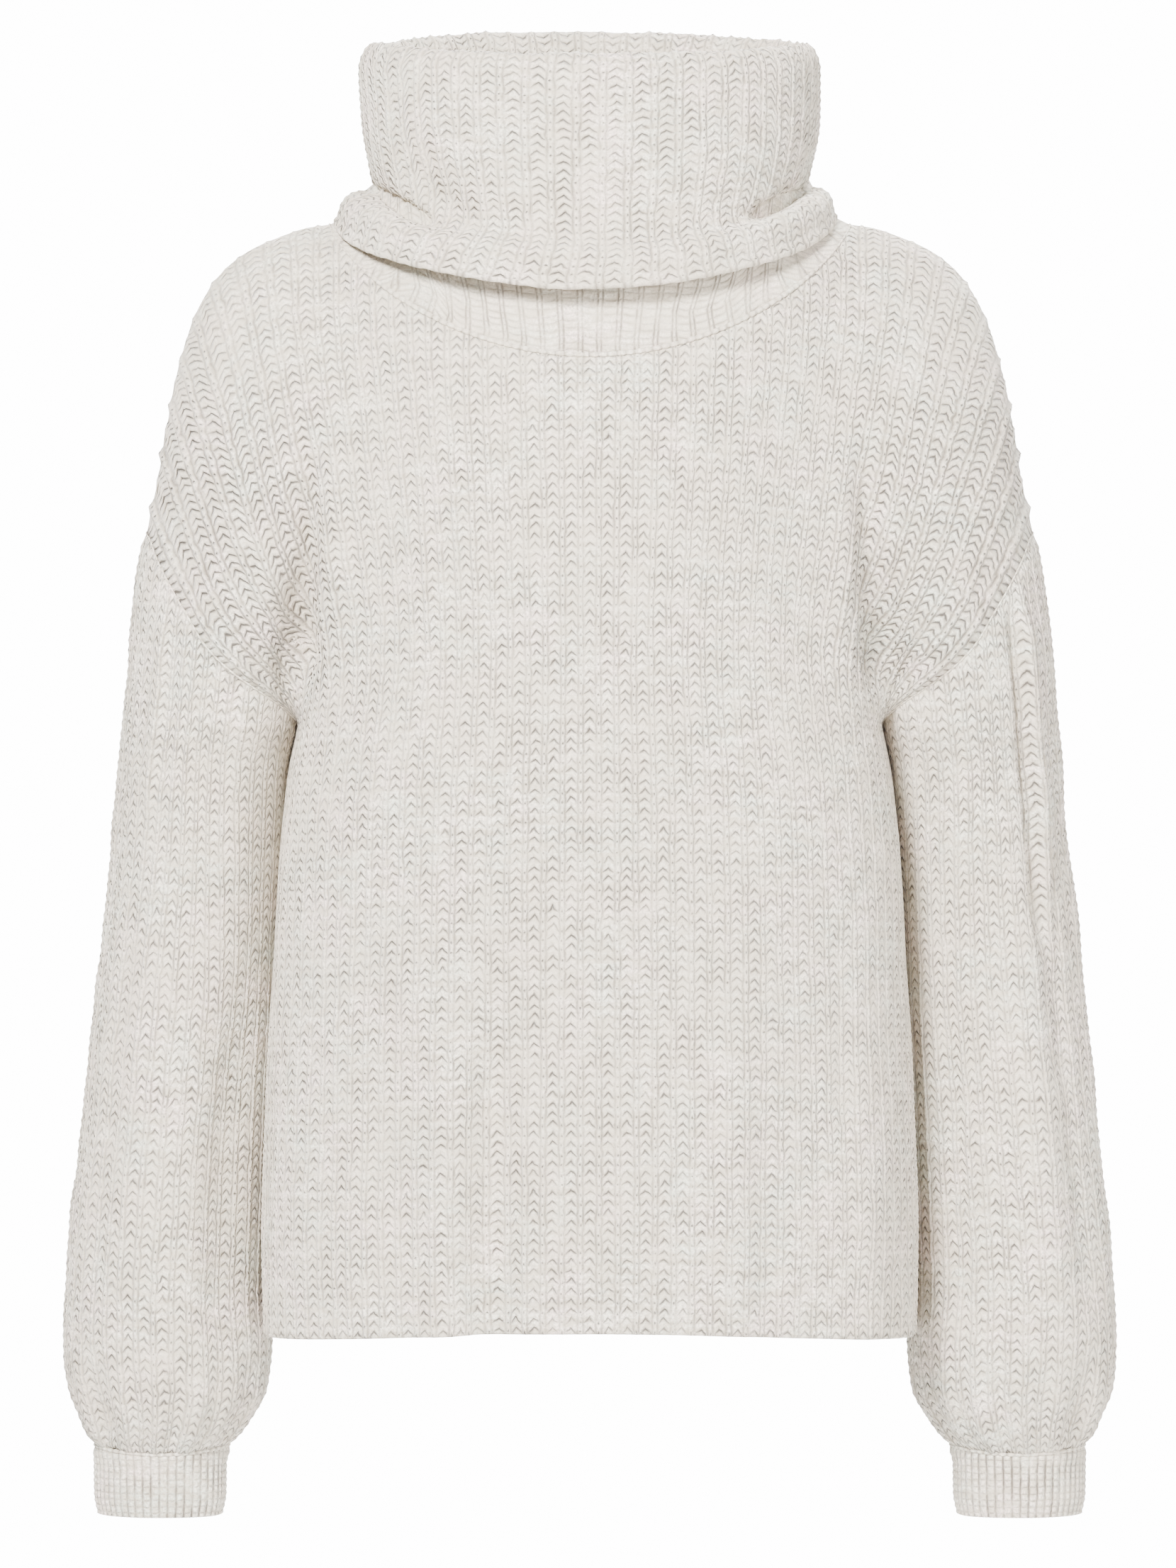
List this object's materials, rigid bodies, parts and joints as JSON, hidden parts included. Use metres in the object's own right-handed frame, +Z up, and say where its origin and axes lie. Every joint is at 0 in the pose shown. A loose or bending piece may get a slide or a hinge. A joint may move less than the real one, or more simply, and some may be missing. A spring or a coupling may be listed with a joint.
{
  "type": "sweater",
  "caption": "Chunky rib-knit sweater, filled out as if worn: doubled-over cowl collar, drop shoulders, balloon sleeves gathered into ribbed cuffs, open neck, hem and cuffs.",
  "frame": {"origin": "middle of the neck's base between the shoulders, where the wearer's shoulders carry the sweater", "axes": "+Z up towards the collar, -Y towards the front of the garment, +X towards the wearer's left sleeve"},
  "size_m": [0.6004, 0.2393, 0.85],
  "materials": {
    "wool": "cream melange wool, half-cardigan rib, soft and slightly fuzzy",
    "wool_cuff": "cream melange wool, fine rib"
  },
  "bodies": {
    "root": {"front": "wool", "back": "wool", "sleeve_left": "wool", "sleeve_right": "wool", "cuff_left": "wool_cuff", "cuff_right": "wool_cuff", "collar": "wool"}
  },
  "joints": []
}
